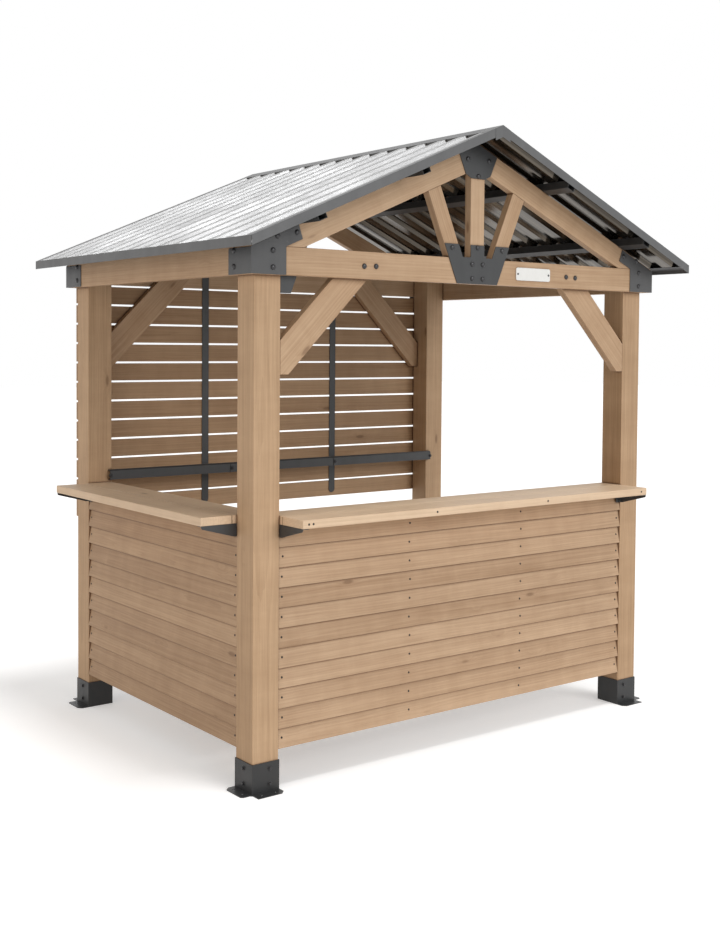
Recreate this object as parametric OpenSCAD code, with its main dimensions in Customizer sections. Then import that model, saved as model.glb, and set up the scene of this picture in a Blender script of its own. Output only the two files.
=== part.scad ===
// Gazebo bar: four posts, gable roof in ribbed sheet, two lapped-board bar walls with counters
// and a slatted back wall. Millimetres, +Z up, origin on the ground at the middle of the posts.
// Front is -Y, left is -X, the ridge runs along Y.

/* [Frame] */
// Width over the outer faces of the posts
frame_w = 2110; // [1700:10:3000]
// Depth over the outer faces of the posts
frame_d = 1500; // [1300:10:2400]
// Side of a square post
post_w = 114; // [90:1:140]
// Height of the underside of the beams
beam_z = 1908; // [1850:1:2300]
// Height of a beam
beam_h = 104; // [90:1:160]
// Thickness of beams, rafters and braces
board_t = 36; // [30:1:50]

/* [Post feet] */
// Height of the steel sleeve round a post
sleeve_h = 112; // [80:1:160]
// Thickness of the foot's steel
foot_t = 3; // [2:0.5:6]
// Width of the bolting flange outside the post
flange_w = 45; // [40:1:70]
// Diameter of a flange bolt hole
anchor_d = 10; // [8:1:14]
// Distance between the two holes of a flange
anchor_pitch = 60; // [40:1:80]

/* [Knee braces] */
// Width of a brace
brace_w = 116; // [80:1:140]
// Distance below the beam at which the brace's top edge meets the post
brace_drop = 238; // [200:1:400]
// Width of the level cut at the brace's foot
brace_foot = 38; // [20:1:60]

/* [Gables] */
// Slope of the roof in degrees
pitch = 23.2; // [15:0.1:32]
// Depth of a rafter, square to its length
rafter_d = 90; // [80:1:110]
// Width of the king post
king_w = 75; // [60:1:90]
// Width of a strut
strut_w = 70; // [50:1:80]
// Distance of a strut's centre from the middle, at the top of the beam
strut_x = 117; // [100:1:180]

/* [Steel plates] */
// Thickness of plates and brackets
plate_t = 3; // [2:0.5:5]
// Length of the centre plate's fingers above the beam
finger_h = 55; // [30:1:80]
// Height of the apex plate's foot above the rafters' lower meeting line
apex_drop = 44; // [30:1:60]
// Half width of the apex plate at its top
apex_half = 104; // [80:1:140]
// Reach of a corner bracket along the beams
corner_reach = 152; // [120:1:200]
// Reach of the bracket's arm up the rafter, from the bracket's edge
arm_reach = 73; // [50:1:120]
// Height of the bracket's arm
arm_h = 50; // [35:1:60]
// Width of an inner post gusset at the beam
gusset_w = 72; // [50:1:90]
// Height of an inner post gusset below the beam
gusset_h = 64; // [40:1:90]

/* [Roof] */
// Overhang of the sheets past the posts at each gable
gable_over = 180; // [120:1:300]
// Overhang of the sheets past the posts at each eave, level
eave_over = 125; // [80:1:200]
// Height of a purlin
purlin_h = 36; // [25:1:50]
// Width of a purlin
purlin_w = 40; // [30:1:50]
// Wall of a purlin
purlin_t = 1.5; // [1:0.5:3]
// Distance of the upper purlins from the middle
purlin_in = 400; // [300:1:500]
// Distance of the lower purlins from the middle
purlin_out = 885; // [700:1:900]
// Number of rib pitches along the roof
rib_count = 14; // [10:1:20]
// Height of a rib
rib_h = 15; // [8:1:30]
// Thickness of sheet metal
sheet_t = 1; // [0.6:0.1:2]
// Length of a ridge cap leg
cap_leg = 80; // [60:1:150]
// Height of the flashing on the gables
flash_h = 34; // [25:1:60]
// Height of the flashing on the eaves
eave_flash_h = 36; // [24:1:60]
// Width of the flashing's hidden leg
flash_leg = 32; // [20:1:60]

/* [Bar walls] */
// Height of the lowest board's lower edge
wall_z = 150; // [120:1:250]
// Visible height of one board
board_pitch = 75.5; // [60:0.5:110]
// Number of boards
board_count = 11; // [8:1:13]
// Overlap of one board over the next
board_lap = 18; // [10:1:30]
// Thickness of a board's lower edge
butt_t = 11; // [9:1:16]
// Thickness of a board's upper edge
tip_t = 5; // [4:1:8]
// Clearance between a board's back and the board below it
lap_gap = 0.3; // [0.1:0.1:1]
// Distance from the last board's full pitch up to the counter
board_rest = 9.5; // [0:0.5:20]
// Thickness of a stud
stud_t = 36; // [30:1:50]
// Depth of a stud
stud_d = 70; // [45:1:90]
// Distance of the front wall's inner studs from the middle
stud_x = 310; // [250:1:400]

/* [Counters] */
// Thickness of a counter
counter_t = 32; // [25:1:45]
// Overhang of the counters past the posts
counter_over = 154; // [100:1:250]
// Number of planks in a counter
plank_count = 2; // [1:1:4]
// Gap between planks
plank_gap = 1.5; // [1:0.5:5]
// Height of a counter bracket at the wall
shelf_arm_h = 48; // [30:1:80]
// Height of a counter bracket at its tip
shelf_tip_h = 12; // [6:1:20]
// Width of a counter bracket's flanges
shelf_flange = 30; // [20:1:45]

/* [Back wall] */
// Number of slats
slat_count = 12; // [8:1:15]
// Height of a slat
slat_h = 80; // [60:1:110]
// Gap between slats
slat_gap = 8.9; // [4:0.1:12]
// Height of the lowest slat's lower edge
slat_z = 860; // [300:1:900]
// Thickness of a slat
slat_t = 16; // [12:1:25]
// Distance of a strap from the middle
strap_x = 385; // [250:1:500]
// Width of a strap
strap_w = 36; // [25:1:50]
// Height of a strap's lower end above the lowest slat's lower edge
strap_up = 18; // [10:1:70]
// Height of the rail's lower edge
rail_z = 1034; // [900:1:1200]
// Height of the rail
rail_h = 46; // [30:1:60]
// Depth of the rail
rail_d = 20; // [15:1:40]
// Wall of the rail
rail_t = 2; // [1.5:0.5:3]
// Lap of the rail over the posts
rail_lap = 17; // [10:1:40]

/* [Name plate] */
// Width of the blank plate
sign_w = 202; // [120:1:250]
// Height of the blank plate
sign_h = 54; // [40:1:80]
// Distance of the plate's centre from the middle
sign_x = 322; // [280:1:350]
// Thickness of the blank plate
sign_t = 3; // [2:0.5:5]

/* [Hidden] */
$fn = 48;
half_w = frame_w / 2;
half_d = frame_d / 2;
in_x = half_w - post_w;
in_y = half_d - post_w;
beam_top = beam_z + beam_h;
out_x = half_w + board_t;
out_y = half_d + board_t;
// Heights at the middle of lines that run parallel to the roof
rafter_top_z = beam_top + out_x * tan(pitch);
rafter_low_z = rafter_top_z - rafter_d / cos(pitch);
// Heights above the rafter's lower face, square to the slope
purlin_base = rafter_d;
sheet_base = rafter_d + purlin_h;
rib_top = sheet_base + sheet_t + rib_h;
roof_half = half_d + gable_over;
eave_x = half_w + eave_over;
// A rib's crown and its two flanks, as shares of the rib pitch
crown_share = 0.34;
flank_share = 0.12;
rib_pitch = 2 * roof_half / (rib_count + crown_share + 2 * flank_share);
rib_crown = rib_pitch * crown_share;
rib_side = rib_pitch * flank_share;
counter_z = wall_z + board_count * board_pitch + board_rest;
board_h = board_pitch + board_lap;
// A board leans back so that the next one up clears it by lap_gap
board_front = (butt_t + lap_gap) * board_h / board_pitch;
lean_depth = board_front + tip_t;
// The back tie beam stands a slat gap above the last slat
back_beam_z = slat_z + slat_count * (slat_h + slat_gap);
brace_low = beam_z - brace_drop;
hole_out = flange_w / 2 + foot_t;

// ---- Placing helpers ----

// Mirrors a front left piece to another corner: right is 1 for +X, back is 1 for +Y
module at_corner(right, back) {
    mirror([right, 0, 0]) mirror([0, back, 0]) children();
}

// Mirrors a front piece to the back
module at_back(back) {
    mirror([0, back, 0]) children();
}

// Stands a drawing of X and Z upright, its thickness growing from y0 towards +Y
module upright(y0, thick) {
    translate([0, y0 + thick, 0]) rotate([90, 0, 0]) linear_extrude(thick) children();
}

// Stands a drawing of Y and Z upright, its thickness growing from x0 towards +X
module upright_side(x0, thick) {
    translate([x0, 0, 0]) rotate([90, 0, 90]) linear_extrude(thick) children();
}

// A frame on the left slope: +X runs up the slope to the ridge line, +Z square to the slope,
// zero on the rafters' lower face
module left_slope() {
    translate([0, 0, rafter_low_z]) rotate([0, -pitch, 0]) children();
}

// Distance along the slope from the ridge line, for a level distance x and a height w above the slope
function along(x, w) = (x - w * sin(pitch)) / cos(pitch);

// ---- Posts and feet ----

module post(right, back) {
    at_corner(right, back)
        color("burlywood")
        translate([-half_w, -half_d, foot_t])
        cube([post_w, post_w, beam_top - foot_t]);
}

module foot_outline() {
    corner_cut = 16;
    low_x = -half_w - foot_t - flange_w;
    low_y = -half_d - foot_t - flange_w;
    high_x = -in_x + foot_t;
    high_y = -in_y + foot_t;
    polygon([
        [-half_w - foot_t, low_y], [high_x - corner_cut, low_y], [high_x, low_y + corner_cut],
        [high_x, high_y], [low_x + corner_cut, high_y], [low_x, high_y - corner_cut],
        [low_x, -half_d - foot_t + corner_cut / 2], [low_x + corner_cut / 2, -half_d - foot_t],
        [-half_w - foot_t - corner_cut / 2, -half_d - foot_t],
        [-half_w - foot_t, -half_d - foot_t - corner_cut / 2]
    ]);
}

module anchor_holes() {
    mid_x = -half_w + post_w / 2;
    mid_y = -half_d + post_w / 2;
    for (side = [-1, 1]) {
        translate([mid_x + side * anchor_pitch / 2, -half_d - hole_out, -1])
            cylinder(d = anchor_d, h = foot_t + 2);
        translate([-half_w - hole_out, mid_y + side * anchor_pitch / 2, -1])
            cylinder(d = anchor_d, h = foot_t + 2);
    }
}

module foot(right, back) {
    at_corner(right, back) color("dimgray") difference() {
        union() {
            linear_extrude(foot_t) foot_outline();
            translate([-half_w - foot_t, -half_d - foot_t, 0])
                cube([post_w + 2 * foot_t, post_w + 2 * foot_t, sleeve_h]);
        }
        translate([-half_w, -half_d, foot_t]) cube([post_w, post_w, sleeve_h]);
        anchor_holes();
    }
}

// ---- Beams ----

module tie_beam(back) {
    low = back == 1 ? back_beam_z : beam_z;
    at_back(back) color("burlywood")
        translate([-out_x, -out_y, low]) cube([2 * out_x, board_t, beam_top - low]);
}

module eave_beam(right) {
    mirror([right, 0, 0]) color("peru")
        translate([-out_x, -half_d, beam_z]) cube([board_t, frame_d, beam_h]);
}

// ---- Corner brackets and inner gussets ----

// Outline of the bracket's front face, with the arm that climbs the rafter
module corner_face() {
    edge_x = -out_x - plate_t;
    inner_x = edge_x + corner_reach;
    arm_x = inner_x + arm_reach;
    arm_low = beam_top + arm_reach * tan(pitch);
    tip_x = arm_x - arm_h * tan(pitch) * cos(pitch) * cos(pitch);
    arm_inset = 5;
    roof_line = rafter_top_z - arm_inset;
    polygon([
        [edge_x, beam_z], [inner_x, beam_z], [inner_x, beam_top], [arm_x, arm_low],
        [tip_x, roof_line + tip_x * tan(pitch)], [edge_x, roof_line + edge_x * tan(pitch)]
    ]);
}

module corner_bracket(right, back) {
    side_cut = 8;
    at_corner(right, back) color("dimgray") {
        upright(-out_y - plate_t, plate_t) corner_face();
        translate([-out_x - plate_t, -out_y, beam_z])
            cube([plate_t, corner_reach, beam_h - side_cut]);
    }
}

// An angle in the inner front left corner: one plate behind the beam, one on the post
module post_gusset() {
    taper = 26;
    top_cut = 20;
    color("dimgray") {
        upright(-half_d, plate_t) polygon([
            [-in_x, beam_z - gusset_h], [-in_x + gusset_w - taper, beam_z - gusset_h],
            [-in_x + gusset_w, beam_z], [-in_x + gusset_w, beam_top - top_cut],
            [-in_x, beam_top - top_cut]
        ]);
        translate([-in_x, -half_d + plate_t, beam_z - gusset_h])
            cube([plate_t, post_w / 2, gusset_h + beam_h - top_cut]);
    }
}

// ---- Knee braces ----

// Outline of the left brace: it leans 45 degrees, ends level at its foot and behind the beam
module brace_outline() {
    top_gap = 2;
    top_z = beam_top - top_gap;
    width = brace_w * sqrt(2);
    foot_z = brace_low - width + brace_foot;
    polygon([
        [-in_x, brace_low], [-in_x, foot_z], [-in_x + brace_foot, foot_z],
        [-in_x + brace_foot + top_z - foot_z, top_z], [-in_x + top_z - brace_low, top_z]
    ]);
}

module knee_braces(back) {
    color("burlywood") for (right = [0, 1])
        at_corner(right, back) upright(-half_d, board_t) brace_outline();
}

// ---- Gable trusses ----

module rafter(right, back) {
    foot_x = -(rafter_low_z - beam_top) / tan(pitch);
    inner = -king_w / 2;
    at_corner(right, back) color("burlywood") upright(-out_y, board_t) polygon([
        [-out_x, beam_top], [foot_x, beam_top],
        [inner, rafter_low_z + inner * tan(pitch)], [inner, rafter_top_z + inner * tan(pitch)]
    ]);
}

module king_outline() {
    side = king_w / 2;
    top_z = rafter_top_z - side * tan(pitch);
    polygon([
        [-side, beam_top], [side, beam_top], [side, top_z], [0, rafter_top_z], [-side, top_z]
    ]);
}

// Outline of the left strut, square to the rafter and cut level on the beam
module strut_outline() {
    half_cut = strut_w / 2 / cos(pitch);
    // Where a line from x0 on the beam, leaning with the strut, meets the rafter's lower face
    function rise(x0) = (rafter_low_z - beam_top - x0 * tan(pitch)) * cos(pitch) * cos(pitch);
    x_out = strut_x + half_cut;
    x_in = strut_x - half_cut;
    polygon([
        [-x_out, beam_top], [-x_in, beam_top],
        [-x_in - rise(x_in) * tan(pitch), beam_top + rise(x_in)],
        [-x_out - rise(x_out) * tan(pitch), beam_top + rise(x_out)]
    ]);
}

module truss_webs(back) {
    at_back(back) color("tan") {
        upright(-out_y, board_t) king_outline();
        for (right = [0, 1]) mirror([right, 0, 0]) upright(-out_y, board_t) strut_outline();
    }
}

// Plate over the foot of king post and struts, with a finger up each of them
module centre_plate_outline(low) {
    half_cut = strut_w / 2 / cos(pitch);
    x_out = strut_x + half_cut;
    x_in = strut_x - half_cut;
    finger_lean = finger_h * tan(pitch);
    beam_lean = (beam_top - low) * tan(pitch);
    side = king_w / 2;
    notch = 4;
    polygon([
        [-x_out + beam_lean, low], [x_out - beam_lean, low],
        [x_out, beam_top], [x_out + finger_lean, beam_top + finger_h],
        [x_in + finger_lean, beam_top + finger_h], [x_in + notch / 2, beam_top + notch],
        [side + notch, beam_top + notch], [side, beam_top + 2 * notch],
        [side, beam_top + finger_h], [-side, beam_top + finger_h],
        [-side, beam_top + 2 * notch], [-side - notch, beam_top + notch],
        [-x_in - notch / 2, beam_top + notch], [-x_in - finger_lean, beam_top + finger_h],
        [-x_out - finger_lean, beam_top + finger_h], [-x_out, beam_top]
    ]);
}

module apex_plate_outline() {
    side = king_w / 2;
    low_z = rafter_low_z - apex_drop;
    shoulder_h = 15;
    top_inset = 2;
    shoulder_z = low_z + shoulder_h;
    shoulder_x = (rafter_low_z - shoulder_z) / tan(pitch);
    top_line = rafter_top_z - top_inset;
    polygon([
        [0, top_line], [apex_half, top_line - apex_half * tan(pitch)],
        [shoulder_x, shoulder_z], [side, low_z], [-side, low_z], [-shoulder_x, shoulder_z],
        [-apex_half, top_line - apex_half * tan(pitch)]
    ]);
}

module truss_plates(back) {
    at_back(back) color("dimgray") {
        upright(-out_y - plate_t, plate_t)
            centre_plate_outline(back == 1 ? back_beam_z : beam_z);
        upright(-out_y - plate_t, plate_t) apex_plate_outline();
    }
}

// ---- Roof ----

module purlin(x) {
    centre = along(x, purlin_base + purlin_h / 2);
    left_slope() translate([-centre, roof_half, purlin_base + purlin_h / 2])
        rotate([90, 0, 0]) linear_extrude(2 * roof_half) difference() {
            square([purlin_w, purlin_h], center = true);
            square([purlin_w - 2 * purlin_t, purlin_h - 2 * purlin_t], center = true);
        }
}

module purlins() {
    color("dimgray") for (right = [0, 1], x = [purlin_in, purlin_out])
        mirror([right, 0, 0]) purlin(x);
}

// Corners of one rib from its low side to its high side, offset by the height up
function rib_points(index, up) =
    let (start = -roof_half + index * rib_pitch)
    [
        [start, up], [start + rib_side, rib_h + up],
        [start + rib_side + rib_crown, rib_h + up], [start + 2 * rib_side + rib_crown, up]
    ];

function flip(list) = [for (i = [len(list) - 1 : -1 : 0]) list[i]];

// Cross section of a sheet along the ridge: ribs from gable to gable
module sheet_section() {
    lower = [for (i = [0 : rib_count], p = rib_points(i, 0)) p];
    upper = [for (i = [0 : rib_count], p = rib_points(i, sheet_t)) p];
    polygon(concat(lower, flip(upper)));
}

module roof_sheet(right) {
    ridge_gap = 8;
    low_end = along(eave_x, rib_top);
    high_end = along(ridge_gap, sheet_base);
    mirror([right, 0, 0]) color("gainsboro") left_slope()
        translate([-low_end, 0, sheet_base])
        rotate([90, 0, 90]) linear_extrude(low_end - high_end) sheet_section();
}

// Folded cap on the ribs, with a toothed edge that fills the pans and is rooted in the cap
module ridge_cap() {
    cap_z = rafter_low_z + rib_top / cos(pitch);
    reach = cap_leg * cos(pitch);
    drop = reach * tan(pitch);
    thick = sheet_t / cos(pitch);
    end_half = 40;
    end_h = 48;
    color("slategray") {
        upright(-roof_half - sheet_t, 2 * (roof_half + sheet_t)) polygon([
            [-reach, cap_z - drop], [0, cap_z], [reach, cap_z - drop],
            [reach, cap_z - drop + thick], [0, cap_z + thick], [-reach, cap_z - drop + thick]
        ]);
        for (right = [0, 1], i = [0 : rib_count - 1]) mirror([right, 0, 0])
            left_slope() translate([
                -along(reach, rib_top), -roof_half + i * rib_pitch + 2 * rib_side + rib_crown,
                sheet_base + 2 * sheet_t
            ]) cube([sheet_t, rib_pitch - 2 * rib_side - rib_crown, rib_h - sheet_t / 2]);
        for (back = [0, 1]) at_back(back) upright(-roof_half - 2 * sheet_t, sheet_t) polygon([
            [-end_half, cap_z - end_half * tan(pitch) - end_h + thick],
            [0, cap_z - end_h + thick],
            [end_half, cap_z - end_half * tan(pitch) - end_h + thick],
            [end_half, cap_z - end_half * tan(pitch) + thick],
            [0, cap_z + thick], [-end_half, cap_z - end_half * tan(pitch) + thick]
        ]);
    }
}

// Angle that closes the sheets' rib ends at the eave, with a leg under the sheets
module eave_flashings() {
    slope_x = eave_x * tan(pitch);
    edge_z = rafter_low_z + sheet_base / cos(pitch) - slope_x;
    crown_z = rafter_low_z + (rib_top + sheet_t) / cos(pitch) - slope_x;
    out = eave_x + sheet_t;
    up_x = flash_leg * cos(pitch);
    skin = sheet_t / cos(pitch);
    length = 2 * (roof_half - sheet_t);
    color("gray") for (right = [0, 1]) mirror([right, 0, 0]) upright(-length / 2, length) polygon([
        [-out, crown_z], [-eave_x, crown_z], [-eave_x, edge_z],
        [-eave_x + up_x, edge_z + up_x * tan(pitch)],
        [-eave_x + up_x, edge_z + up_x * tan(pitch) - skin], [-eave_x, edge_z - skin],
        [-eave_x, crown_z - eave_flash_h], [-out, crown_z - eave_flash_h]
    ]);
}

// Angle over the gable edge of the sheets: one leg on the edge rib, one leg down the gable
module gable_flashings() {
    crown_z = rafter_low_z + rib_top / cos(pitch);
    skin = sheet_t / cos(pitch);
    drop = flash_h / cos(pitch);
    cap_gap = 2;
    start_x = cap_leg * cos(pitch) + cap_gap;
    meet_x = 0.5;
    color("gray") for (right = [0, 1], back = [0, 1]) at_corner(right, back) {
        upright(-roof_half - sheet_t, sheet_t) polygon([
            [-eave_x, crown_z + skin - eave_x * tan(pitch)],
            [-start_x, crown_z + skin - start_x * tan(pitch)],
            [-start_x, crown_z - start_x * tan(pitch)], [-meet_x, crown_z - meet_x * tan(pitch)],
            [-meet_x, crown_z + skin - drop - meet_x * tan(pitch)],
            [-eave_x, crown_z + skin - drop - eave_x * tan(pitch)]
        ]);
        upright(-roof_half - sheet_t, flash_leg) polygon([
            [-eave_x, crown_z - eave_x * tan(pitch)], [-start_x, crown_z - start_x * tan(pitch)],
            [-start_x, crown_z + skin - start_x * tan(pitch)],
            [-eave_x, crown_z + skin - eave_x * tan(pitch)]
        ]);
    }
}

// ---- Bar walls ----

// Section of one lapped board: depth from the wall's outer face, height above its lower edge
module board_section(height) {
    share = height / board_h;
    polygon([
        [0, 0], [butt_t, 0],
        [butt_t + (lean_depth - butt_t) * share, height], [board_front * share, height]
    ]);
}

// A wall of lapped boards: its length runs along +X, its depth along +Y
module board_wall(length) {
    for (i = [0 : board_count - 1]) {
        low = wall_z + i * board_pitch;
        translate([0, 0, low]) rotate([90, 0, 90]) linear_extrude(length)
            board_section(min(board_h, counter_z - low));
    }
}

module front_wall_boards() {
    color("burlywood") translate([-in_x, -half_d, 0]) board_wall(2 * in_x);
}

module left_wall_boards() {
    color("peru") translate([-half_w, in_y, 0]) rotate([0, 0, -90]) board_wall(2 * in_y);
}

module wall_studs() {
    height = counter_z - wall_z;
    color("tan") {
        for (x = [-in_x, -stud_x - stud_t / 2, stud_x - stud_t / 2, in_x - stud_t])
            translate([x, -half_d + lean_depth, wall_z]) cube([stud_t, stud_d, height]);
        for (y = [-in_y, in_y - stud_t])
            translate([-half_w + lean_depth, y, wall_z]) cube([stud_d, stud_t, height]);
    }
}

// ---- Counters ----

// Planks of one counter: the length runs along +X, the width along +Y
module counter_planks(length, width) {
    plank_w = (width - (plank_count - 1) * plank_gap) / plank_count;
    for (i = [0 : plank_count - 1])
        translate([0, i * (plank_w + plank_gap), counter_z]) cube([length, plank_w, counter_t]);
}

module counter_front() {
    color("burlywood") translate([-in_x, -half_d - counter_over, 0])
        counter_planks(2 * in_x, post_w + counter_over);
}

module counter_left() {
    color("burlywood") translate([-half_w - counter_over, in_y, 0]) rotate([0, 0, -90])
        counter_planks(2 * in_y, post_w + counter_over);
}

// Bracket under a counter end: wall flange, counter flange and a tapered web between them.
// The web stands at x = 0, the wall face at y = 0, and the counter reaches towards -Y
module counter_bracket() {
    tip_gap = 4;
    foot_w = 14;
    tip = -counter_over + tip_gap;
    upright_side(0, plate_t) polygon([
        [0, -shelf_arm_h], [0, 0], [tip, 0], [tip, -shelf_tip_h + tip_gap],
        [tip + tip_gap, -shelf_tip_h], [-foot_w, -shelf_arm_h]
    ]);
    translate([0, -plate_t, -shelf_arm_h]) cube([shelf_flange, plate_t, shelf_arm_h]);
    translate([0, tip, -plate_t]) cube([shelf_flange, -tip, plate_t]);
}

module counter_brackets() {
    color("dimgray") {
        for (right = [0, 1]) mirror([right, 0, 0])
            translate([-in_x, -half_d, counter_z]) counter_bracket();
        for (back = [0, 1]) at_back(back)
            translate([-half_w, -in_y, counter_z]) mirror([1, -1, 0]) counter_bracket();
    }
}

// ---- Back wall ----

module back_slats() {
    color("burlywood") for (i = [0 : slat_count - 1]) {
        low = slat_z + i * (slat_h + slat_gap);
        translate([-half_w, half_d, low])
            cube([frame_w, slat_t, slat_h]);
    }
}

module slat_straps() {
    low = slat_z + strap_up + strap_w / 2;
    top_gap = 10;
    color("dimgray") for (side = [-1, 1]) translate([side * strap_x, 0, 0])
        upright(half_d - plate_t, plate_t) union() {
            translate([-strap_w / 2, low]) square([strap_w, beam_top - top_gap - low]);
            translate([0, low]) circle(d = strap_w);
        }
}

// Channel in three lengths across the inner faces of the back posts, with a plate over each joint
module rail_section() {
    chamfer = 6;
    difference() {
        polygon([
            [0, 0], [rail_d, 0], [rail_d, rail_h], [chamfer, rail_h], [0, rail_h - chamfer]
        ]);
        translate([rail_t, rail_t]) square([rail_d, rail_h - 2 * rail_t - chamfer / 2]);
    }
}

module back_rail() {
    end_x = in_x + rail_lap;
    joint_w = 20;
    joint_h = rail_h - 6;
    color("dimgray") {
        upright_side(-end_x, 2 * end_x) translate([in_y - rail_d, rail_z]) rail_section();
        for (side = [-1, 1])
            translate([side * stud_x - joint_w / 2, in_y - rail_d - plate_t, rail_z])
            cube([joint_w, plate_t, joint_h]);
    }
}

// ---- Name plate ----

module name_plate() {
    radius = 9;
    mid_z = beam_z + beam_h / 2;
    color("white") upright(-out_y - sign_t, sign_t) translate([sign_x, mid_z]) union() {
        square([sign_w - 2 * radius, sign_h], center = true);
        square([sign_w, sign_h - 2 * radius], center = true);
        for (sx = [-1, 1], sz = [-1, 1])
            translate([sx * (sign_w / 2 - radius), sz * (sign_h / 2 - radius)]) circle(r = radius);
    }
}

// ---- Nodes ----

post(0, 0);  // post_front_left
post(1, 0);  // post_front_right
post(0, 1);  // post_back_left
post(1, 1);  // post_back_right
foot(0, 0);  // foot_front_left
foot(1, 0);  // foot_front_right
foot(0, 1);  // foot_back_left
foot(1, 1);  // foot_back_right
tie_beam(0);  // tie_beam_front
tie_beam(1);  // tie_beam_back
eave_beam(0);  // eave_beam_left
eave_beam(1);  // eave_beam_right
corner_bracket(0, 0);  // corner_bracket_front_left
corner_bracket(1, 0);  // corner_bracket_front_right
corner_bracket(0, 1);  // corner_bracket_back_left
corner_bracket(1, 1);  // corner_bracket_back_right
post_gusset();
knee_braces(0);  // knee_braces_front
knee_braces(1);  // knee_braces_back
rafter(0, 0);  // rafter_front_left
rafter(1, 0);  // rafter_front_right
rafter(0, 1);  // rafter_back_left
rafter(1, 1);  // rafter_back_right
truss_webs(0);  // truss_webs_front
truss_webs(1);  // truss_webs_back
truss_plates(0);  // truss_plates_front
truss_plates(1);  // truss_plates_back
purlins();
roof_sheet(0);  // roof_sheet_left
roof_sheet(1);  // roof_sheet_right
ridge_cap();
eave_flashings();
gable_flashings();
counter_front();
counter_left();
counter_brackets();
front_wall_boards();
left_wall_boards();
wall_studs();
back_slats();
slat_straps();
back_rail();
name_plate();
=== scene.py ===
"""Gazebo bar: finishes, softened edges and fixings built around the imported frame."""
import math
import random

import bmesh
import bpy
from mathutils import Matrix, Vector
from mathutils.bvhtree import BVHTree


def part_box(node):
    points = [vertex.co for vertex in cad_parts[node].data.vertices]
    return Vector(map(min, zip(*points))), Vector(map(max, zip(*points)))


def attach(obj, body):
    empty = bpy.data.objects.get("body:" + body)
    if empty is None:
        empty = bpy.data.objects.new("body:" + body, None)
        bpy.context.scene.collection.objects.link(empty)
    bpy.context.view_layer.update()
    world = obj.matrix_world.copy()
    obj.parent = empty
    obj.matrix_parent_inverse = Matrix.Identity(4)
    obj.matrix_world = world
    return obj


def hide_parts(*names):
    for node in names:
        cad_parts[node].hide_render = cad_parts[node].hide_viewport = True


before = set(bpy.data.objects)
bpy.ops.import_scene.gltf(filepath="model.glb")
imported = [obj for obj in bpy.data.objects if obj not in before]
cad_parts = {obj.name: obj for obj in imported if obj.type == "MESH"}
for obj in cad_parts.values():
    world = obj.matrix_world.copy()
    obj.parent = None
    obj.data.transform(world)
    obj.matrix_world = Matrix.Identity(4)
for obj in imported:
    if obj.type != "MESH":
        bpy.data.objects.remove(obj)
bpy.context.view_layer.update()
random.seed(7)

# ---- Driving values, in metres ----

MERGE = 1e-5
WOOD_ARRIS = 0.0022
BOARD_ARRIS = 0.0013
STEEL_ARRIS = 0.0007
SHARP_EDGE = math.radians(20)
FLAT_ENOUGH = math.radians(0.6)

RIB_COUNT = 14
RIB_EDGE_SHARE = 0.58       # the part pitch past the last rib
PAN_SHARE = 0.79            # the middle of a pan, as a share of a pitch
SCREWED_PANS = (0, 3, 6, 7, 10, 13)
BOARD_COUNT = 11
BOARD_LAP_SHARE = 0.12      # how much taller a board is than its pitch
NAIL_SHARE = 0.52           # how far up its board a nail sits
SLAT_COUNT = 12
SLAT_GAP = 0.0089

# Distances of fixings from the middle of the part, or from the edge that is named beside them
BRACE_BOLTS_X = (0.525, 0.582)
SIDE_BOLTS_Y = 0.672
SIDE_BOLT_DROPS = (0.016, 0.075)
SIDE_BOLT_START = 1.15      # inside the eave flashing, outside the corner bracket
PLATE_BOLT_X = 0.029
PLATE_BOLT_DROPS = {"front": 0.082, "back": 0.060}
SLEEVE_SCREWS_Z = (0.030, 0.087)
SLEEVE_SCREW_IN = 0.018
PURLINS_X = (0.400, 0.872)
STUDS_X = (-0.923, -0.310, 0.310, 0.923)
STUDS_Y = (-0.618, 0.618)
NAIL_STRAY = 0.003
COUNTER_EDGE_NAILS_X = (-0.915, -0.895, -0.303, 0.310, 0.905)
COUNTER_TOP_NAILS_X = (-0.918, -0.310, 0.310, 0.918)
STRAP_X = 0.385
SLAT_SCREWS_UP = (0.022, 0.058)
RAIL_BOLTS_X = (-0.955, -0.310, 0.310, 0.955)
RAIL_BOLT_START = 0.20
PLATE_SCREW_IN = 0.010

POSTS = ["post_front_left", "post_front_right", "post_back_left", "post_back_right"]
BEAMS = ["tie_beam_front", "tie_beam_back", "eave_beam_left", "eave_beam_right"]
RAFTERS = ["rafter_front_left", "rafter_front_right", "rafter_back_left", "rafter_back_right"]
WEBS = ["truss_webs_front", "truss_webs_back", "knee_braces_front", "knee_braces_back"]
CORNERS = ["corner_bracket_front_left", "corner_bracket_front_right",
           "corner_bracket_back_left", "corner_bracket_back_right"]
PLATES = ["truss_plates_front", "truss_plates_back", "counter_brackets", "post_gusset"]
FEET = ["foot_front_left", "foot_front_right", "foot_back_left", "foot_back_right"]


# ---- Shader helpers ----

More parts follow.
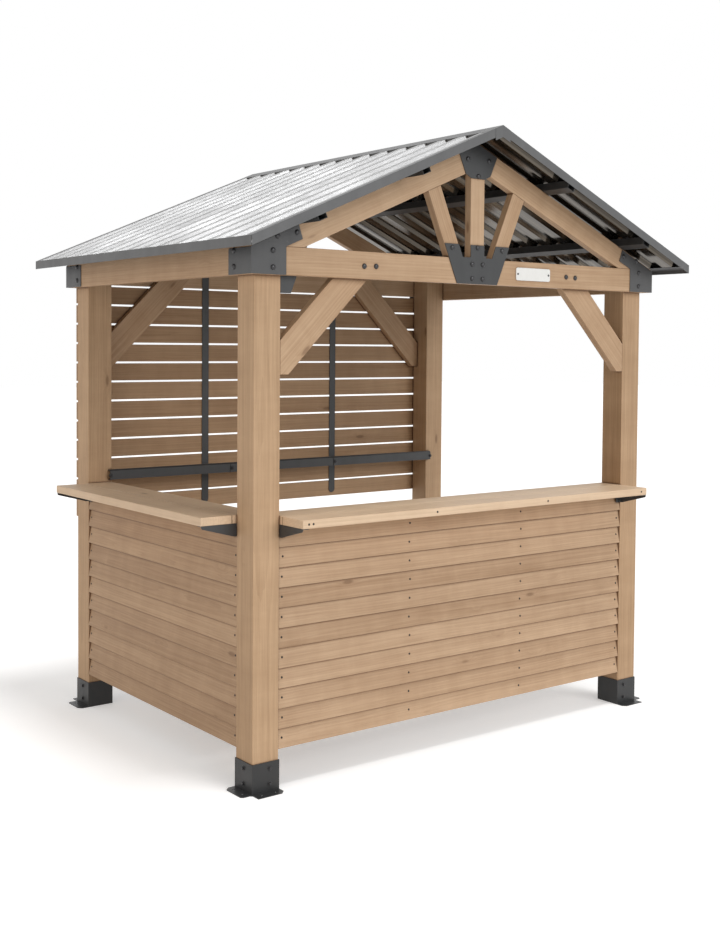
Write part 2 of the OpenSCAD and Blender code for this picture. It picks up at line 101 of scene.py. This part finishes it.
class Shader:
    """A material under construction: short calls for nodes, links and ramps."""

    def __init__(self, name):
        self.material = bpy.data.materials.new(name)
        self.material.use_nodes = True
        self.tree = self.material.node_tree
        self.tree.nodes.clear()
        self.output = self.tree.nodes.new("ShaderNodeOutputMaterial")
        self.surface = self.tree.nodes.new("ShaderNodeBsdfPrincipled")
        self.link(self.surface.outputs[0], self.output.inputs["Surface"])

    def link(self, source, target):
        self.tree.links.new(source, target)

    def node(self, kind, inputs=None, **settings):
        made = self.tree.nodes.new(kind)
        for key, value in settings.items():
            setattr(made, key, value)
        for key, value in (inputs or {}).items():
            if hasattr(value, "is_output"):
                self.link(value, made.inputs[key])
            else:
                made.inputs[key].default_value = value
        return made

    def attribute(self, name):
        return self.node("ShaderNodeAttribute", attribute_name=name)

    def stretched(self, vector, scale):
        made = self.node("ShaderNodeVectorMath", {0: vector, 1: scale}, operation="MULTIPLY")
        return made.outputs[0]

    def noise(self, vector, scale, detail=3.0, roughness=0.55):
        made = self.node("ShaderNodeTexNoise", {"Vector": vector, "Scale": scale,
                                                "Detail": detail, "Roughness": roughness})
        return made.outputs["Fac"]

    def maths(self, operation, first, second=0.0, third=0.0):
        return self.node("ShaderNodeMath", {0: first, 1: second, 2: third},
                         operation=operation).outputs[0]

    def remap(self, value, low, high, to_low=0.0, to_high=1.0):
        made = self.node("ShaderNodeMapRange", {"Value": value, "From Min": low, "From Max": high,
                                                "To Min": to_low, "To Max": to_high})
        return made.outputs["Result"]

    def mix(self, factor, first, second, blend="MIX"):
        made = self.node("ShaderNodeMix", data_type="RGBA", blend_type=blend)
        for socket, value in ((0, factor), (6, first), (7, second)):
            if hasattr(value, "is_output"):
                self.link(value, made.inputs[socket])
            else:
                made.inputs[socket].default_value = value
        return made.outputs[2]

    def bump(self, height, strength, distance, below=None):
        inputs = {"Height": height, "Strength": strength, "Distance": distance}
        if below is not None:
            inputs["Normal"] = below
        return self.node("ShaderNodeBump", inputs).outputs[0]


def rgb(red, green, blue):
    return (red, green, blue, 1.0)


# ---- Materials ----

def wood(name, pale, deep, knot_and_shade, roughness=0.58):
    """Planed stained softwood: rings, streaks and knots follow each board's own grain."""
    s = Shader(name)
    grain = s.attribute("grain").outputs["Vector"]
    tone = s.attribute("tone").outputs["Fac"]

    wander = s.node("ShaderNodeTexNoise", {"Vector": s.stretched(grain, (1.1, 5.0, 5.0)),
                                           "Scale": 1.0, "Detail": 2.0})
    shifted = s.node("ShaderNodeVectorMath", {0: wander.outputs["Color"], 1: (0.5, 0.5, 0.5)},
                     operation="SUBTRACT").outputs[0]
    drift = s.stretched(shifted, (0.0, 0.035, 0.035))
    bent = s.node("ShaderNodeVectorMath", {0: grain, 1: drift}, operation="ADD").outputs[0]

    knots = s.node("ShaderNodeTexVoronoi", {"Vector": s.stretched(grain, (2.6, 8.0, 8.0)),
                                            "Scale": 1.0}).outputs["Distance"]
    knot_core = s.remap(knots, 0.085, 0.045)
    knot_halo = s.remap(knots, 0.20, 0.06)
    swirl = s.maths("MULTIPLY", knot_halo, 0.020)
    apart = s.node("ShaderNodeSeparateXYZ", {"Vector": bent})
    across = s.maths("ADD", apart.outputs[1], swirl)
    around = s.node("ShaderNodeCombineXYZ", {"X": s.maths("MULTIPLY", apart.outputs[0], 0.04),
                                             "Y": across, "Z": apart.outputs[2]}).outputs[0]
    rings = s.node("ShaderNodeTexWave", {"Vector": around, "Scale": 34.0, "Distortion": 1.4,
                                         "Detail": 2.0, "Detail Scale": 1.5},
                   wave_type="RINGS", rings_direction="X", wave_profile="SAW").outputs["Fac"]
    streak = s.noise(s.stretched(grain, (1.3, 78.0, 78.0)), 1.0, 4.0, 0.62)
    fibre = s.noise(s.stretched(grain, (9.0, 420.0, 420.0)), 1.0, 3.0, 0.6)
    blotch = s.noise(s.stretched(grain, (1.6, 7.0, 7.0)), 1.0, 2.0)

    stain = s.noise(s.stretched(grain, (9.0, 3.0, 3.0)), 1.0, 4.0, 0.6)
    dark = s.maths("MULTIPLY", rings, 0.15)
    for layer, share in ((streak, 0.30), (fibre, 0.20), (blotch, 0.20), (stain, 0.20)):
        dark = s.maths("ADD", dark, s.maths("MULTIPLY", s.remap(layer, 0.3, 0.7), share))
    dark = s.maths("ADD", dark, s.maths("MULTIPLY", tone, 0.15))
    body = s.mix(s.remap(dark, 0.10, 0.95), rgb(*pale), rgb(*deep))
    body = s.mix(s.maths("MULTIPLY", knot_halo, 0.22), body, rgb(*deep))
    body = s.mix(s.maths("MULTIPLY", knot_core, 0.50), body, rgb(*knot_and_shade))
    # Painted shade: ambient occlusion darkens board laps, joints and other crevices toward the knot
    # colour, standing in for the shade that falls there.
    crevice = s.node("ShaderNodeAmbientOcclusion", {"Distance": 0.011}, samples=6).outputs["AO"]
    crevice_shade = s.remap(crevice, 0.92, 0.55)
    body = s.mix(s.maths("MULTIPLY", crevice_shade, 0.92), body, rgb(*knot_and_shade))
    s.link(body, s.surface.inputs["Base Color"])
    rough = s.remap(dark, 0.1, 1.0, roughness + 0.08, roughness - 0.08)
    s.link(rough, s.surface.inputs["Roughness"])
    s.surface.inputs["Specular IOR Level"].default_value = 0.35
    relief = s.maths("MULTIPLY_ADD", rings, 0.5, fibre)
    s.link(s.bump(relief, 0.35, 0.0009), s.surface.inputs["Normal"])
    return s.material


def coated(name, base, worn, roughness, metallic, peel=650.0, streaks=(6.0, 6.0, 1.2)):
    """Coated steel: fine peel, faint run-off streaks and paler scuffs."""
    s = Shader(name)
    place = s.node("ShaderNodeTexCoord").outputs["Object"]
    cloud = s.noise(place, 5.0, 4.0)
    runs = s.noise(s.stretched(place, streaks), 3.0, 4.0, 0.6)
    scuff = s.noise(place, 46.0, 6.0, 0.72)
    scratch = s.noise(s.stretched(place, (30.0, 30.0, 260.0)), 1.0, 2.0)
    shade = s.maths("MULTIPLY_ADD", cloud, 0.5, s.maths("MULTIPLY", runs, 0.5))
    dull = [channel * 0.78 for channel in base]
    body = s.mix(s.remap(shade, 0.35, 0.65), rgb(*dull), rgb(*base))
    marks = s.maths("MAXIMUM", s.remap(scuff, 0.66, 0.80), s.remap(scratch, 0.74, 0.82, 0.0, 0.5))
    body = s.mix(s.maths("MULTIPLY", marks, 0.55), body, rgb(*worn))
    s.link(body, s.surface.inputs["Base Color"])
    s.surface.inputs["Metallic"].default_value = metallic
    rough = s.remap(shade, 0.3, 0.7, roughness + 0.07, roughness - 0.06)
    s.link(rough, s.surface.inputs["Roughness"])
    fine = s.noise(place, peel, 2.0)
    s.link(s.bump(fine, 0.22, 0.0004, s.bump(cloud, 0.10, 0.004)), s.surface.inputs["Normal"])
    return s.material


def sheet_under(name):
    """Dark glossy underside of the roof sheets, with long rolling streaks up the slope."""
    s = Shader(name)
    place = s.node("ShaderNodeTexCoord").outputs["Object"]
    rolled = s.noise(s.stretched(place, (0.5, 60.0, 0.5)), 1.0, 3.0, 0.6)
    buckle = s.noise(s.stretched(place, (1.3, 4.0, 1.3)), 1.0, 1.0)
    body = s.mix(s.remap(rolled, 0.35, 0.65), rgb(0.050, 0.044, 0.037), rgb(0.155, 0.136, 0.112))
    s.link(body, s.surface.inputs["Base Color"])
    s.surface.inputs["Metallic"].default_value = 0.92
    s.link(s.remap(rolled, 0.3, 0.7, 0.10, 0.20), s.surface.inputs["Roughness"])
    s.link(s.bump(rolled, 0.05, 0.0010, s.bump(buckle, 0.25, 0.010)), s.surface.inputs["Normal"])
    return s.material


def enamel(name):
    """White coat of the blank plate, with faint dirt."""
    s = Shader(name)
    place = s.node("ShaderNodeTexCoord").outputs["Object"]
    dirt = s.noise(place, 14.0, 5.0, 0.65)
    body = s.mix(s.remap(dirt, 0.45, 0.75), rgb(0.84, 0.84, 0.82), rgb(0.78, 0.78, 0.75))
    s.link(body, s.surface.inputs["Base Color"])
    s.link(s.remap(dirt, 0.3, 0.7, 0.26, 0.42), s.surface.inputs["Roughness"])
    s.link(s.bump(s.noise(place, 420.0, 2.0), 0.12, 0.0003), s.surface.inputs["Normal"])
    return s.material


def floor_material():
    """Pale matt floor: white where it is lit, and the object's shadow stays on it."""
    s = Shader("studio_floor")
    place = s.node("ShaderNodeTexCoord").outputs["Object"]
    speck = s.noise(place, 30.0, 3.0)
    body = s.mix(speck, rgb(0.84, 0.84, 0.84), rgb(0.88, 0.88, 0.88))
    s.link(body, s.surface.inputs["Base Color"])
    s.surface.inputs["Roughness"].default_value = 0.9
    s.surface.inputs["Specular IOR Level"].default_value = 0.0
    s.link(seen_ray(s, 0.34), s.surface.inputs["Emission Strength"])
    s.surface.inputs["Emission Color"].default_value = rgb(1.0, 1.0, 1.0)
    return s.material


def seen_ray(shader, amount):
    """amount on camera, glossy and transmission rays, 0 on the rays that light the object."""
    path = shader.node("ShaderNodeLightPath")
    seen = shader.maths("MAXIMUM", path.outputs["Is Camera Ray"], path.outputs["Is Glossy Ray"])
    seen = shader.maths("MAXIMUM", seen, path.outputs["Is Transmission Ray"])
    return shader.maths("MULTIPLY", seen, amount)


BEAM_WOOD = wood("wood_beam", (0.60, 0.42, 0.27), (0.36, 0.215, 0.115), (0.13, 0.06, 0.025))
POST_WOOD = wood("wood_post", (0.57, 0.385, 0.235), (0.33, 0.20, 0.105), (0.12, 0.055, 0.025))
BOARD_WOOD = wood("wood_board", (0.59, 0.41, 0.265), (0.35, 0.215, 0.12), (0.13, 0.06, 0.025))
SLAT_WOOD = wood("wood_slat", (0.50, 0.33, 0.195), (0.28, 0.16, 0.08), (0.10, 0.045, 0.02))
COUNTER_WOOD = wood("wood_counter", (0.80, 0.61, 0.43), (0.55, 0.385, 0.245), (0.16, 0.075, 0.03),
                    roughness=0.5)
DARK_STEEL = coated("dark_steel", (0.050, 0.052, 0.054), (0.14, 0.14, 0.14), 0.40, 0.10)
FOOT_STEEL = coated("foot_steel", (0.026, 0.027, 0.028), (0.10, 0.10, 0.10), 0.38, 0.10)
BRACKET_STEEL = coated("bracket_steel", (0.082, 0.083, 0.085), (0.18, 0.18, 0.18), 0.42, 0.10)
FIXING_STEEL = coated("fixing_steel", (0.055, 0.055, 0.058), (0.20, 0.20, 0.20), 0.30, 0.50)
# Nail heads are near black: partly their own dark steel, partly painted shade standing in for
# countersunk nail holes.
NAIL_STEEL = coated("nail_steel", (0.020, 0.016, 0.013), (0.05, 0.045, 0.04), 0.55, 0.20)
FLASHING = coated("flashing_grey", (0.118, 0.120, 0.123), (0.26, 0.26, 0.26), 0.42, 0.10)
SHEET_TOP = coated("roof_sheet_silver", (0.41, 0.415, 0.42), (0.50, 0.50, 0.49), 0.41, 0.34, 900.0,
                   (0.8, 0.8, 0.8))
SHEET_UNDER = sheet_under("roof_sheet_under")
WHITE = enamel("white_plate")


# ---- Meshes from the frame ----

def plain_form(node):
    """The node's solids as clean faces: joined corners, one face per flat side."""
    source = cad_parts[node].data
    form = bmesh.new()
    corners = [form.verts.new(vertex.co) for vertex in source.vertices]
    for polygon in source.polygons:
        form.faces.new([corners[i] for i in polygon.vertices])
    bmesh.ops.remove_doubles(form, verts=form.verts, dist=MERGE)
    bmesh.ops.dissolve_degenerate(form, edges=form.edges, dist=MERGE)
    bmesh.ops.dissolve_limit(form, angle_limit=FLAT_ENOUGH, verts=form.verts, edges=form.edges)
    bmesh.ops.recalc_face_normals(form, faces=form.faces)
    return form


def soften(form, width):
    """Rounds every sharp edge."""
    sharp = [e for e in form.edges if e.is_manifold and e.calc_face_angle(0.0) > SHARP_EDGE]
    bmesh.ops.bevel(form, geom=sharp, offset=width, segments=2, profile=0.5,
                    affect="EDGES", clamp_overlap=True)


def islands(form):
    """The separate solids of a form, as lists of vertices."""
    left = set(form.verts)
    found = []
    for start in list(form.verts):
        if start not in left:
            continue
        left.discard(start)
        group, queue = [start], [start]
        while queue:
            for edge in queue.pop().link_edges:
                for vertex in edge.verts:
                    if vertex in left:
                        left.discard(vertex)
                        group.append(vertex)
                        queue.append(vertex)
        found.append(group)
    return found


def grain_axes(group):
    """Along, across and through: along is the direction of the solid's longest edge."""
    edges = {edge for vertex in group for edge in vertex.link_edges}
    longest = max(edges, key=lambda edge: round(edge.calc_length(), 5))
    along = (longest.verts[1].co - longest.verts[0].co).normalized()
    if along.dot(Vector((1.0, 0.5, 0.25))) < 0:
        along.negate()
    helper = Vector((0, 1, 0)) if abs(along.y) < 0.7 else Vector((0, 0, 1))
    across = along.cross(helper).normalized()
    return along, across, along.cross(across)


def finish_piece(name, form, material, nodes=()):
    """Turns a form into a piece that rides on the object and stands for its CAD nodes."""
    mesh = bpy.data.meshes.new(name)
    form.to_mesh(mesh)
    form.free()
    materials = material if isinstance(material, (list, tuple)) else [material]
    for item in materials:
        mesh.materials.append(item)
    piece = bpy.data.objects.new(name, mesh)
    bpy.context.scene.collection.objects.link(piece)
    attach(piece, "root")
    if nodes:
        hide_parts(*nodes)
    return piece


def timber(node, material, arris=WOOD_ARRIS, lean=0.0):
    """Every board of a node with rounded arrises, its own grain and its own tone; lean shifts every
    board darker, which on the left wall is partly painted shade.
    """
    form = plain_form(node)
    soften(form, arris)
    grain = form.verts.layers.float_vector.new("grain")
    tone = form.verts.layers.float.new("tone")
    for group in islands(form):
        axes = grain_axes(group)
        centre = sum((vertex.co for vertex in group), Vector()) / len(group)
        pith_angle = random.uniform(0, math.tau)
        pith_reach = random.uniform(0.035, 0.11)
        shift = Vector((random.uniform(-40, 40), pith_reach * math.cos(pith_angle),
                        pith_reach * math.sin(pith_angle)))
        shade = random.uniform(-1.0, 1.0) + lean
        for vertex in group:
            offset = vertex.co - centre
            vertex[grain] = Vector([offset.dot(axis) for axis in axes]) + shift
            vertex[tone] = shade
    return finish_piece("timber_" + node, form, material, [node])


def steel(node, material):
    """A plate node with its edges softened."""
    form = plain_form(node)
    soften(form, STEEL_ARRIS)
    return finish_piece("steel_" + node, form, material, [node])


def kept(node, material):
    """A CAD node that shows as it is, with a finish of its own."""
    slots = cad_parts[node].data.materials
    slots.clear()
    slots.append(material)


def roof_sheet(node):
    """A sheet with a silver coat above and a dark one below."""
    form = plain_form(node)
    for face in form.faces:
        face.material_index = 0 if face.normal.z > 0.05 else 1
    return finish_piece("ribbed_" + node, form, [SHEET_TOP, SHEET_UNDER], [node])


# ---- Fixings, struck onto the frame from outside ----

REACH = 4.0
DIRECTIONS = {"front": Vector((0, 1, 0)), "back": Vector((0, -1, 0)),
              "left": Vector((1, 0, 0)), "right": Vector((-1, 0, 0)), "above": Vector((0, 0, -1))}


def frame_surface():
    """All CAD nodes as one surface to strike."""
    points, faces = [], []
    for node in sorted(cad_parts):
        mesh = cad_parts[node].data
        start = len(points)
        points += [vertex.co.copy() for vertex in mesh.vertices]
        faces += [[start + i for i in polygon.vertices] for polygon in mesh.polygons]
    return BVHTree.FromPolygons(points, faces)


SURFACE = frame_surface()


def strike(side, first, second):
    """Where a line from that side meets the object: first and second are the two coordinates
    across the line, in the order x, y, z. Returns the point and the face's outward normal."""
    direction = DIRECTIONS[side]
    spot = {"front": Vector((first, -REACH, second)), "back": Vector((first, REACH, second)),
            "left": Vector((-REACH, first, second)), "right": Vector((REACH, first, second)),
            "above": Vector((first, second, REACH))}[side]
    return struck(spot, direction)


def struck(start, direction):
    """The first face met from start along direction: the point and its outward normal."""
    point, normal, _, _ = SURFACE.ray_cast(start, direction)
    if normal.dot(direction) > 0:
        normal.negate()
    return point, normal


def turned(form, spot, profile, sides):
    """Adds a turned head: profile is a list of (radius, height) from its rim to its middle."""
    point, normal = spot
    spin = normal.to_track_quat("Z", "Y").to_matrix().to_4x4()
    place = Matrix.Translation(point) @ spin
    rings = []
    for radius, height in profile:
        if radius == 0:
            rings.append([form.verts.new(place @ Vector((0, 0, height)))])
            continue
        turns = [math.tau * i / sides for i in range(sides)]
        rings.append([form.verts.new(place @ Vector((radius * math.cos(turn), radius * math.sin(turn),
                                                     height)))
                      for turn in turns])
    for low, high in zip(rings, rings[1:]):
        for i in range(sides):
            after = (i + 1) % sides
            if len(high) == 1:
                form.faces.new((low[i], low[after], high[0]))
            else:
                form.faces.new((low[i], low[after], high[after], high[i]))
    form.faces.new(list(reversed(rings[0])))


# Heads as (radius, height), from the rim, a little under the surface, to the middle
DOME = [(0.0105, -0.001), (0.0105, 0.0012), (0.0094, 0.0034), (0.0062, 0.0055), (0.0026, 0.0064),
        (0, 0.0066)]
WASHER = [(0.0095, -0.001), (0.0095, 0.0012), (0.0088, 0.0018), (0.0060, 0.0018), (0, 0.0018)]
HEX = [(0.0062, 0.0010), (0.0062, 0.0058), (0.0054, 0.0068), (0, 0.0068)]
NAIL = [(0.0042, -0.001), (0.0042, 0.0004), (0.0032, 0.0009), (0, 0.0010)]
SCREW = [(0.0046, -0.001), (0.0046, 0.0008), (0.0034, 0.0022), (0.0012, 0.0026), (0, 0.0016)]


def heads(name, spots, profiles, material):
    """One piece with a head at every spot: each profile comes with its number of sides."""
    form = bmesh.new()
    for spot in spots:
        for profile, sides in profiles:
            turned(form, spot, profile, sides)
    return finish_piece(name, form, material)


def both_ends(pairs):
    """Struck spots on the front and on the back gable, mirrored left and right."""
    spots = []
    for side in ("front", "back"):
        for x, z in pairs:
            for sign in ((-1, 1) if x else (1,)):
                spots.append(strike(side, sign * x, z))
    return spots


def beam_bolts():
    """Domed bolts that hold the knee braces, and those of the plates and brackets."""
    low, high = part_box("tie_beam_front")
    middle = (low.z + high.z) / 2
    braces = [(BRACE_BOLTS_X[0], middle - 0.002), (BRACE_BOLTS_X[1], middle - 0.004)]
    plate = [(0.138, high.z + 0.039), (0.0, high.z + 0.045), (PLATE_BOLT_X, high.z - 0.023)]
    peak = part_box("truss_plates_front")[1].z
    apex = [(0.058, peak - 0.064), (0.0, peak - 0.130)]
    corner = [(1.000, high.z - 0.017), (1.000, high.z - 0.078), (0.981, high.z + 0.036),
              (0.895, high.z + 0.054)]
    spots = both_ends(braces + plate + apex + corner)
    for side, drop in PLATE_BOLT_DROPS.items():
        spots += [strike(side, x, high.z - drop) for x in (-PLATE_BOLT_X, PLATE_BOLT_X)]
    for x in (-SIDE_BOLT_START, SIDE_BOLT_START):
        inward = Vector((-x, 0, 0)).normalized()
        spots += [struck(Vector((x, y, high.z - drop)), inward)
                  for y in (-SIDE_BOLTS_Y, SIDE_BOLTS_Y) for drop in SIDE_BOLT_DROPS]
    heads("frame_bolts", spots, [(DOME, 16)], FIXING_STEEL)


def foot_screws():
    """Hexagon screws through the sleeves, on the outer faces of each post."""
    low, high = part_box("post_front_left")
    x, y = abs(low.x + high.x) / 2, abs(low.y + high.y) / 2
    spots = []
    inner_x = x - SLEEVE_SCREW_IN
    for z in SLEEVE_SCREWS_Z:
        for sign in (-1, 1):
            spots += [strike("front", sign * inner_x, z), strike("back", sign * inner_x, z),
                      strike("left", sign * y, z), strike("right", sign * y, z)]
    heads("foot_screws", spots, [(WASHER, 16), (HEX, 6)], FIXING_STEEL)


def roof_screws():
    """Washered hexagon screws in the pans over both purlins of each slope."""
    low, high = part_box("roof_sheet_left")
    pitch = (high.y - low.y) / (RIB_COUNT + RIB_EDGE_SHARE)
    pan = low.y + pitch * PAN_SHARE
    spots = [strike("above", side * x, pan + i * pitch)
             for side in (-1, 1) for x in PURLINS_X for i in SCREWED_PANS]
    heads("roof_screws", spots, [(WASHER, 14), (HEX, 6)], FIXING_STEEL)


def wall_nails():
    """One nail a board over each stud, part way up the board."""
    low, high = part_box("front_wall_boards")
    pitch = (high.z - low.z) / (BOARD_COUNT + BOARD_LAP_SHARE)
    spots = []
    for i in range(BOARD_COUNT):
        z = low.z + (i + NAIL_SHARE) * pitch
        spots += [strike("front", x + random.uniform(-NAIL_STRAY, NAIL_STRAY), z) for x in STUDS_X]
        spots += [strike("left", y + random.uniform(-NAIL_STRAY, NAIL_STRAY), z) for y in STUDS_Y]
    heads("wall_nails", spots, [(NAIL, 10)], NAIL_STEEL)


def counter_nails():
    """Nails in the front counter's edge and down through its planks."""
    low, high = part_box("counter_front")
    edge = (low.z + high.z) / 2
    spots = [strike("front", x, edge) for x in COUNTER_EDGE_NAILS_X]
    plank = (high.y - low.y) / 4
    for x in COUNTER_TOP_NAILS_X:
        spots += [strike("above", x, low.y + plank * k) for k in (1, 3)]
    heads("counter_nails", spots, [(NAIL, 10)], NAIL_STEEL)


def slat_screws():
    """Two countersunk screws a slat at each post and each strap, seen from behind."""
    low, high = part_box("back_slats")
    pitch = (high.z - low.z + SLAT_GAP) / SLAT_COUNT
    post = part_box("post_back_left")
    post_x = abs(post[0].x + post[1].x) / 2
    spots = []
    for i in range(SLAT_COUNT):
        for x in (-post_x, -STRAP_X, STRAP_X, post_x):
            spots += [strike("back", x, low.z + i * pitch + up) for up in SLAT_SCREWS_UP]
    heads("slat_screws", spots, [(SCREW, 12)], FIXING_STEEL)


def rail_bolts():
    """A washered hexagon screw on each joint plate of the rail and near each end."""
    low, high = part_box("back_rail")
    middle = (low.z + high.z) / 2 - 0.003
    facing = Vector((0, -1, 0))
    spots = []
    for x in RAIL_BOLTS_X:
        start = Vector((x, low.y - RAIL_BOLT_START, middle))
        spots.append((struck(start, -facing)[0], facing))
    heads("rail_bolts", spots, [(WASHER, 14), (HEX, 6)], FIXING_STEEL)


def plate_screws():
    """Small screws at the ends of the blank plate."""
    low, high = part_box("name_plate")
    middle = (low.z + high.z) / 2
    spots = [strike("front", x, middle) for x in (low.x + PLATE_SCREW_IN, high.x - PLATE_SCREW_IN)]
    heads("plate_screws", spots, [(SCREW, 12)], FIXING_STEEL)


# ---- Pieces ----

for node in POSTS:
    timber(node, POST_WOOD, lean=0.2)
for node in BEAMS + RAFTERS + WEBS:
    timber(node, BEAM_WOOD)
timber("wall_studs", BEAM_WOOD)
timber("front_wall_boards", BOARD_WOOD, BOARD_ARRIS)
# The left wall's boards lean darker: partly the wood's own tone, partly painted shade of the side
# that faces away from the key light.
timber("left_wall_boards", BOARD_WOOD, BOARD_ARRIS, lean=0.5)
timber("back_slats", SLAT_WOOD, BOARD_ARRIS)
timber("counter_front", COUNTER_WOOD)
timber("counter_left", COUNTER_WOOD)
for node in CORNERS:
    steel(node, BRACKET_STEEL)
for node in PLATES:
    steel(node, DARK_STEEL)
for node in FEET:
    kept(node, FOOT_STEEL)
for node in ["purlins", "back_rail", "slat_straps"]:
    kept(node, DARK_STEEL)
for node in ["ridge_cap", "eave_flashings", "gable_flashings"]:
    kept(node, FLASHING)
for node in ["roof_sheet_left", "roof_sheet_right"]:
    roof_sheet(node)
plate_form = plain_form("name_plate")
soften(plate_form, STEEL_ARRIS)
finish_piece("blank_plate", plate_form, WHITE, ["name_plate"])
beam_bolts()
foot_screws()
roof_screws()
wall_nails()
counter_nails()
slat_screws()
rail_bolts()
plate_screws()


# ---- Floor, light and camera ----

def studio_floor():
    half = 40.0
    form = bmesh.new()
    corners = [form.verts.new((x * half, y * half, -0.0005))
               for x, y in ((-1, -1), (1, -1), (1, 1), (-1, 1))]
    form.faces.new(corners)
    mesh = bpy.data.meshes.new("studio_floor")
    form.to_mesh(mesh)
    form.free()
    mesh.materials.append(floor_material())
    floor = bpy.data.objects.new("studio_floor", mesh)
    bpy.context.scene.collection.objects.link(floor)


def studio_world(lighting):
    """White behind the object, and an even soft light on it."""
    world = bpy.data.worlds.new("studio_world")
    bpy.context.scene.world = world
    world.use_nodes = True
    tree = world.node_tree
    background = tree.nodes["Background"]
    background.inputs["Color"].default_value = rgb(1.0, 1.0, 1.0)
    path = tree.nodes.new("ShaderNodeLightPath")
    seen = path.outputs["Is Camera Ray"]
    for ray in ("Is Glossy Ray", "Is Transmission Ray"):
        either = tree.nodes.new("ShaderNodeMath")
        either.operation = "MAXIMUM"
        tree.links.new(seen, either.inputs[0])
        tree.links.new(path.outputs[ray], either.inputs[1])
        seen = either.outputs[0]
    level = tree.nodes.new("ShaderNodeMapRange")
    level.inputs["To Min"].default_value = lighting
    level.inputs["To Max"].default_value = 1.0
    tree.links.new(seen, level.inputs["Value"])
    tree.links.new(level.outputs["Result"], background.inputs["Strength"])


def sun(name, toward, strength, spread, colour=(1.0, 1.0, 1.0)):
    """A soft distant lamp that shines along toward."""
    light = bpy.data.lights.new(name, "SUN")
    light.energy = strength
    light.angle = math.radians(spread)
    light.color = colour
    lamp = bpy.data.objects.new(name, light)
    lamp.rotation_mode = "QUATERNION"
    lamp.rotation_quaternion = Vector(toward).to_track_quat("-Z", "Y")
    bpy.context.scene.collection.objects.link(lamp)


def studio_camera():
    """The view from the front left, a little above head height, nearly level."""
    place = Vector((-3.484, -4.575, 1.650))
    yaw, tilt, roll = math.radians(37.29), math.radians(-2.10), math.radians(0.42)
    ahead = Vector((math.sin(yaw) * math.cos(tilt), math.cos(yaw) * math.cos(tilt), math.sin(tilt)))
    right = Vector((math.cos(yaw), -math.sin(yaw), 0))
    up = right.cross(ahead)
    right_rolled = right * math.cos(roll) + up * math.sin(roll)
    up_rolled = up * math.cos(roll) - right * math.sin(roll)
    turn = Matrix((right_rolled, up_rolled, -ahead)).transposed()
    data = bpy.data.cameras.new("view_camera")
    data.sensor_fit = "VERTICAL"
    data.sensor_height = 36.0
    data.lens = 48.34
    data.shift_y = -0.0775
    camera = bpy.data.objects.new("view_camera", data)
    camera.matrix_world = Matrix.Translation(place) @ turn.to_4x4()
    bpy.context.scene.collection.objects.link(camera)
    bpy.context.scene.camera = camera


studio_floor()
studio_world(lighting=0.50)
sun("key", (-0.22, 1.0, -0.42), 1.12, 30)
sun("top", (-0.10, 0.22, -1.0), 1.05, 12)
sun("side_fill", (1.0, 0.25, -0.25), 0.46, 60, (1.0, 0.76, 0.50))
studio_camera()
bpy.context.scene.view_settings.view_transform = "Standard"
